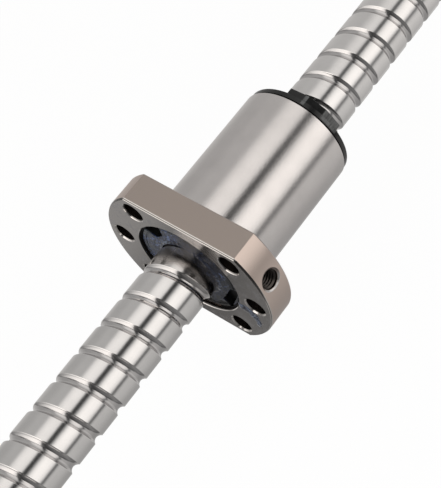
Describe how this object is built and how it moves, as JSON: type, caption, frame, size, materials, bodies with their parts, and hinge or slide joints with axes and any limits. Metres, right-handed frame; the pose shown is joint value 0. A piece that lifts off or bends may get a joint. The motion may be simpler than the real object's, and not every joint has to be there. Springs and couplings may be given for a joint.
{
  "type": "ball screw",
  "caption": "Ball screw with one rolled right-hand track and a flanged nut that has bolt holes, a threaded grease port and plastic end caps.",
  "frame": {"origin": "on the axis of the screw, in the plane of the flange's seating face", "axes": "+X along the axis of the screw from the flange towards the nut's body, +Z square to the two flats of the flange"},
  "size_m": [0.23, 0.058, 0.044],
  "materials": {
    "screw_steel": "ground and hardened bright steel",
    "nut_steel": "ground satin steel",
    "ring_steel": "blackened spring steel",
    "ball_steel": "polished bearing steel",
    "cap_plastic": "moulded black plastic, grease film",
    "wiper_plastic": "moulded black plastic",
    "deflector_plastic": "moulded dark plastic"
  },
  "bodies": {
    "nut": {"nut_body": "nut_steel", "front_end_cap": "cap_plastic", "rear_end_cap": "cap_plastic", "front_wiper": "wiper_plastic", "rear_wiper": "wiper_plastic", "front_ball_deflector": "deflector_plastic", "rear_ball_deflector": "deflector_plastic", "ball_01": "ball_steel", "ball_02": "ball_steel", "ball_03": "ball_steel", "ball_04": "ball_steel", "ball_05": "ball_steel", "ball_06": "ball_steel", "ball_07": "ball_steel", "ball_08": "ball_steel", "ball_09": "ball_steel", "ball_10": "ball_steel", "ball_11": "ball_steel", "ball_12": "ball_steel", "ball_13": "ball_steel", "ball_14": "ball_steel", "ball_15": "ball_steel"},
    "ring": {"retaining_ring": "ring_steel"},
    "screw": {"screw_shaft": "screw_steel"}
  },
  "joints": [
    {"name": "screw_turn", "type": "hinge", "parent": "nut", "child": "ring", "pos_m": [0, 0, 0], "axis": [1, 0, 0], "range_deg": [-2530, 3250]},
    {"name": "screw_travel", "type": "slide", "parent": "ring", "child": "screw", "axis": [1, 0, 0], "range_m": [-0.07, 0.09]}
  ],
  "couplings": [
    {"joint": "screw_turn", "follows": "screw_travel", "rad_per_m": 628.32}
  ]
}
